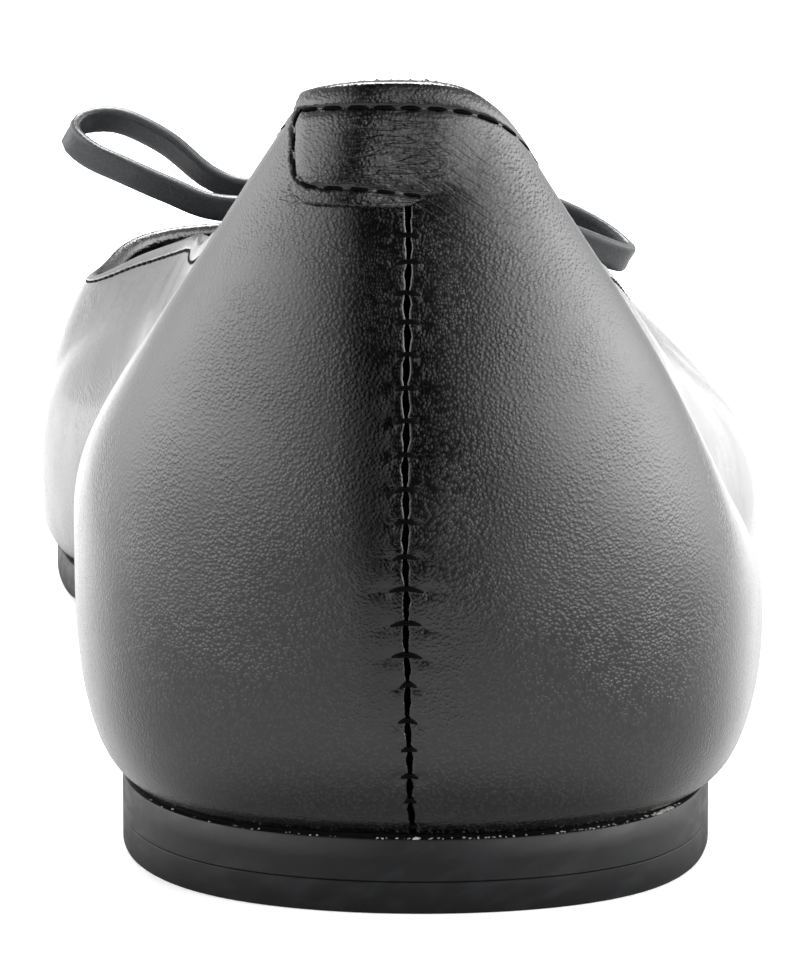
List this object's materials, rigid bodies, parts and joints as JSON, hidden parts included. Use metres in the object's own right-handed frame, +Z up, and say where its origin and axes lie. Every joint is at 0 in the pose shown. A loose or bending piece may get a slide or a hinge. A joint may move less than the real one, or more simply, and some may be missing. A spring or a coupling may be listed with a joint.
{
  "type": "ballet flat shoe",
  "caption": "Low leather ballet flat with a rounded toe, a thin sole with a low heel layer, a stitched back seam with a heel tab, and a small flat-lace bow at the throat.",
  "frame": {"origin": "centre of the shoe's bounding box at the floor, the bow left out", "axes": "+Y to the toe, +Z up, +X to the outer side of a right foot"},
  "size_m": [0.081, 0.2474, 0.0702],
  "materials": {
    "leather": "black full-grain leather, soft sheen",
    "rubber": "black rubber, satin",
    "footbed": "black leather footbed, matte",
    "lace_leather": "folded black leather lace, satin"
  },
  "bodies": {
    "root": {"upper": "leather", "outsole": "rubber", "heel_lift": "rubber", "insole": "footbed", "bow_knot": "lace_leather", "bow_loop_medial": "lace_leather", "bow_loop_lateral": "lace_leather", "bow_end_medial": "lace_leather", "bow_end_lateral": "lace_leather"}
  },
  "joints": []
}
